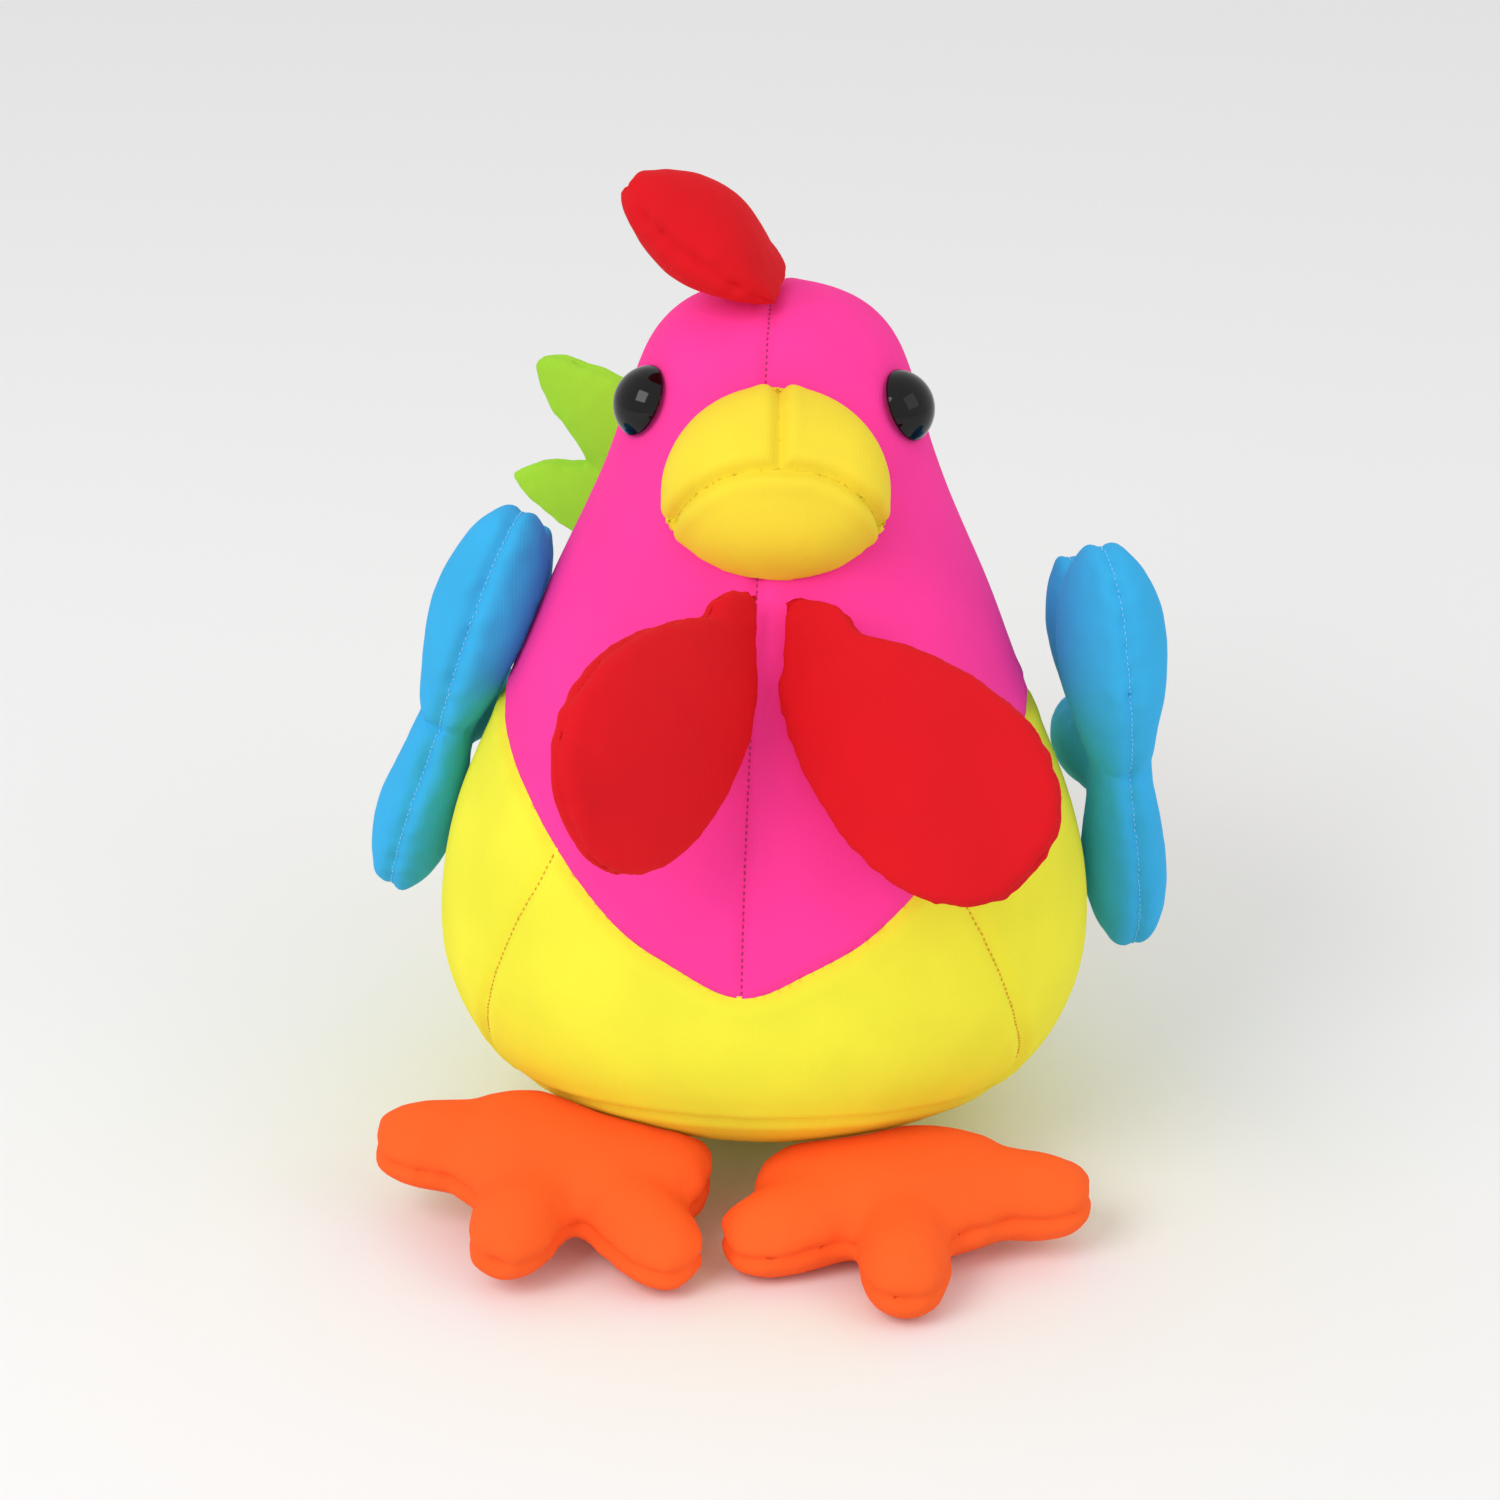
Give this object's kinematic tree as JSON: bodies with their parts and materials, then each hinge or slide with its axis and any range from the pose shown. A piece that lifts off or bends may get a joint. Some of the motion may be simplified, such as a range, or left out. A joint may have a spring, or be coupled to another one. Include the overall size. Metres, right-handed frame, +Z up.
{
  "type": "stuffed toy chicken",
  "caption": "Bead-filled stretch-fabric toy chicken used as a comedy prop, with a pear-shaped body and swinging comb, wattles, wings, tail and feet.",
  "frame": {"origin": "the middle of the flat patch on the floor that the bead-filled base rests on", "axes": "+Z up, the face looks along -Y, +X is the chicken's left side, the right-hand side as it is looked at from the front"},
  "size_m": [0.2737, 0.3138, 0.3246],
  "materials": {
    "hood_pink": "brushed knit stretch fabric",
    "belly_yellow": "brushed knit stretch fabric",
    "beak_yellow": "brushed knit stretch fabric",
    "comb_red": "brushed knit stretch fabric",
    "wing_blue": "brushed knit stretch fabric",
    "tail_lime": "brushed knit stretch fabric",
    "foot_orange": "brushed knit stretch fabric",
    "eye_black": "polished",
    "filling_white": "loose polystyrene microbeads",
    "washer_white": "moulded polypropylene"
  },
  "bodies": {
    "body": {"body_filling": "filling_white", "head_panel_right": "hood_pink", "head_panel_left": "hood_pink", "side_panel_right": "belly_yellow", "side_panel_left": "belly_yellow", "belly_panel": "belly_yellow", "base_panel": "belly_yellow", "beak_upper_right": "beak_yellow", "beak_upper_left": "beak_yellow", "beak_lower": "beak_yellow", "beak_filling": "filling_white", "eye_right": "eye_black", "eye_left": "eye_black", "eye_washer_right": "washer_white", "eye_washer_left": "washer_white"},
    "comb": {"comb_panel_right": "comb_red", "comb_panel_left": "comb_red", "comb_filling": "filling_white"},
    "tail": {"tail_panel_right": "tail_lime", "tail_panel_left": "tail_lime", "tail_filling": "filling_white"},
    "wattle_right": {"wattle_front_right": "comb_red", "wattle_back_right": "comb_red", "wattle_filling_right": "filling_white"},
    "wing_right": {"wing_outer_right": "wing_blue", "wing_inner_right": "wing_blue", "wing_filling_right": "filling_white"},
    "foot_right": {"foot_upper_right": "foot_orange", "foot_sole_right": "foot_orange", "foot_filling_right": "filling_white"},
    "wattle_left": {"wattle_front_left": "comb_red", "wattle_back_left": "comb_red", "wattle_filling_left": "filling_white"},
    "wing_left": {"wing_outer_left": "wing_blue", "wing_inner_left": "wing_blue", "wing_filling_left": "filling_white"},
    "foot_left": {"foot_upper_left": "foot_orange", "foot_sole_left": "foot_orange", "foot_filling_left": "filling_white"}
  },
  "joints": [
    {"name": "comb_flop", "type": "hinge", "parent": "body", "child": "comb", "pos_m": [0.005, 0.002, 0.285], "axis": [0, 0.9945, 0.1045], "range_deg": [0, 95]},
    {"name": "wattle_right_swing", "type": "hinge", "parent": "body", "child": "wattle_right", "pos_m": [0.0069, -0.06743, 0.21169], "axis": [0, -0.6253, -0.7804], "range_deg": [-12, 38]},
    {"name": "wattle_left_swing", "type": "hinge", "parent": "body", "child": "wattle_left", "pos_m": [0.0021, -0.06743, 0.21169], "axis": [0, 0.6253, 0.7804], "range_deg": [-44, 10]},
    {"name": "wing_right_swing", "type": "hinge", "parent": "body", "child": "wing_right", "pos_m": [0.1, -0.03, 0.128], "axis": [0.1045, 0, -0.9945], "range_deg": [0, 55]},
    {"name": "wing_left_swing", "type": "hinge", "parent": "body", "child": "wing_left", "pos_m": [-0.0935, -0.03, 0.139], "axis": [0.3256, 0, 0.9455], "range_deg": [0, 55]},
    {"name": "tail_swing", "type": "hinge", "parent": "body", "child": "tail", "pos_m": [-0.001, 0.0795, 0.157], "axis": [0, 0, -1], "range_deg": [-12, 110]},
    {"name": "foot_right_droop", "type": "hinge", "parent": "body", "child": "foot_right", "pos_m": [0.047, -0.083, 0.026], "axis": [1, 0, 0], "range_deg": [0, 25]},
    {"name": "foot_left_droop", "type": "hinge", "parent": "body", "child": "foot_left", "pos_m": [-0.056, -0.083, 0.028], "axis": [1, 0, 0], "range_deg": [0, 25]}
  ]
}
